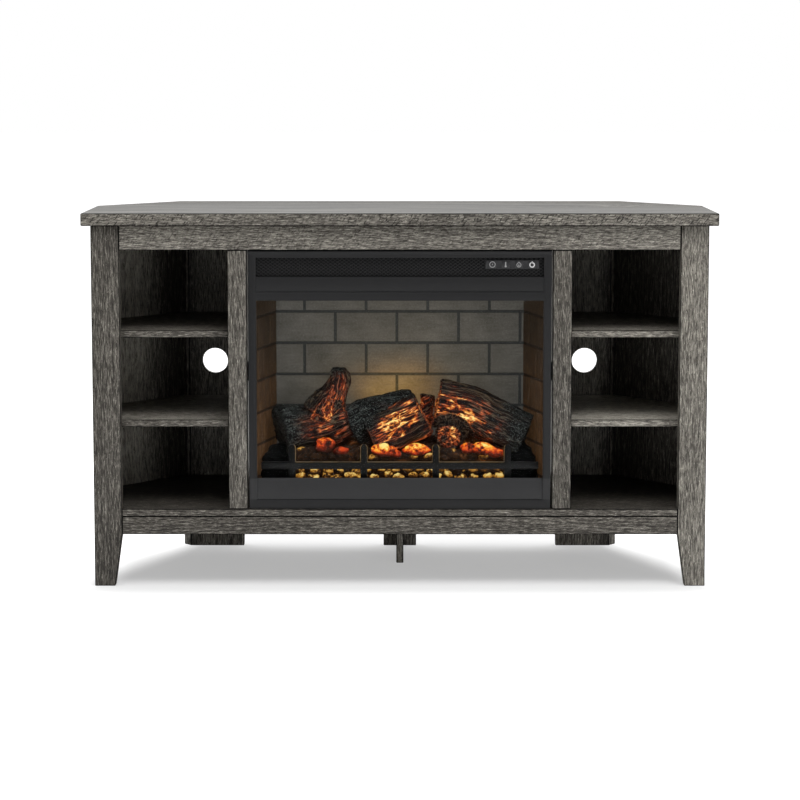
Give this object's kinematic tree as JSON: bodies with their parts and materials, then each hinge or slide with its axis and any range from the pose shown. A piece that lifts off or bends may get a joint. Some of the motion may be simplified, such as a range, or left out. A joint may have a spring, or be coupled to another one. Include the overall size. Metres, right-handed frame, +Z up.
{
  "type": "corner tv stand with electric fireplace",
  "caption": "Corner TV stand in grey oak laminate, open cubbies each side of an electric log-set fireplace insert with vent grille, touch keys, blower and flame rotor.",
  "frame": {"origin": "on the floor, below the centre of the bounding box", "axes": "+X to the stand's right as seen from the front, +Y towards the room's corner, +Z up; the front faces -Y"},
  "size_m": [1.262, 0.397, 0.752],
  "materials": {
    "oak": "grey weathered-oak laminate, satin, with embossed grain",
    "charcoal_metal": "charcoal powder coat, satin",
    "black_metal": "black enamel, satin",
    "strip_plastic": "dark grey moulded plastic",
    "key_plastic": "dark grey key cap with a pale printed icon",
    "circuit_board": "green solder mask",
    "smoked_glass": "smoked tempered glass, clear polish",
    "sheet_steel": "zinc-coated sheet steel",
    "black_rubber": "black rubber",
    "brick_screen": "printed brick pattern on a translucent screen, warm glow from behind",
    "brick_wall": "moulded brown brick",
    "ember_resin": "translucent amber moulding lit from below",
    "charred_resin": "matt black charred resin",
    "log_resin": "painted resin bark with glowing cracks",
    "bright_metal": "bright rolled aluminium",
    "motor_can": "grey steel can",
    "heater_metal": "heat-tinted steel fins"
  },
  "bodies": {
    "stand": {"top_board": "oak", "left_post": "oak", "right_post": "oak", "top_rail": "oak", "lower_rail": "oak", "left_stile": "oak", "right_stile": "oak", "deck": "oak", "left_partition": "oak", "right_partition": "oak", "left_side_panel": "oak", "right_side_panel": "oak", "left_diagonal_panel": "oak", "right_diagonal_panel": "oak", "left_back_board": "oak", "right_back_board": "oak", "rear_rail": "oak", "left_lower_shelf": "oak", "right_lower_shelf": "oak", "left_upper_shelf": "oak", "right_upper_shelf": "oak", "centre_leg": "oak", "rear_centre_foot": "oak", "front_frame": "charcoal_metal", "vent_grille": "black_metal", "control_strip": "strip_plastic", "control_board": "circuit_board", "glass": "smoked_glass", "insert_housing": "sheet_steel", "back_cover": "sheet_steel", "cord_gland": "black_rubber", "left_bracket": "sheet_steel", "right_bracket": "sheet_steel", "brick_screen": "brick_screen", "left_brick_wall": "brick_wall", "right_brick_wall": "brick_wall", "log_tray": "sheet_steel", "firebox_ceiling": "sheet_steel", "grate": "black_metal", "ember_bed": "ember_resin", "left_char_block": "charred_resin", "right_char_block": "charred_resin", "left_log": "log_resin", "centre_log": "log_resin", "right_log": "log_resin", "rear_log": "charred_resin", "ember_led_board": "circuit_board", "flame_led_board": "circuit_board", "rotor_bearing": "sheet_steel", "flame_motor": "motor_can", "power_board": "circuit_board", "blower_scroll": "sheet_steel", "blower_motor": "motor_can", "heater": "heater_metal"},
    "timer_key": {"timer_key": "key_plastic"},
    "heat_key": {"heat_key": "key_plastic"},
    "flame_key": {"flame_key": "key_plastic"},
    "power_key": {"power_key": "key_plastic"},
    "flame_rotor": {"flame_rotor": "bright_metal"},
    "blower_wheel": {"blower_wheel": "bright_metal"}
  },
  "joints": [
    {"name": "timer_press", "type": "slide", "parent": "stand", "child": "timer_key", "axis": [0, 1, 0], "range_m": [0, 0.0006], "stiffness_N_per_m": 600},
    {"name": "heat_press", "type": "slide", "parent": "stand", "child": "heat_key", "axis": [0, 1, 0], "range_m": [0, 0.0006], "stiffness_N_per_m": 600},
    {"name": "flame_press", "type": "slide", "parent": "stand", "child": "flame_key", "axis": [0, 1, 0], "range_m": [0, 0.0006], "stiffness_N_per_m": 600},
    {"name": "power_press", "type": "slide", "parent": "stand", "child": "power_key", "axis": [0, 1, 0], "range_m": [0, 0.0006], "stiffness_N_per_m": 600},
    {"name": "rotor_spin", "type": "hinge", "parent": "stand", "child": "flame_rotor", "pos_m": [0, -0.0222, 0.235], "axis": [1, 0, 0], "continuous": true},
    {"name": "blower_spin", "type": "hinge", "parent": "stand", "child": "blower_wheel", "pos_m": [0, -0.0895, 0.631], "axis": [1, 0, 0], "continuous": true}
  ]
}
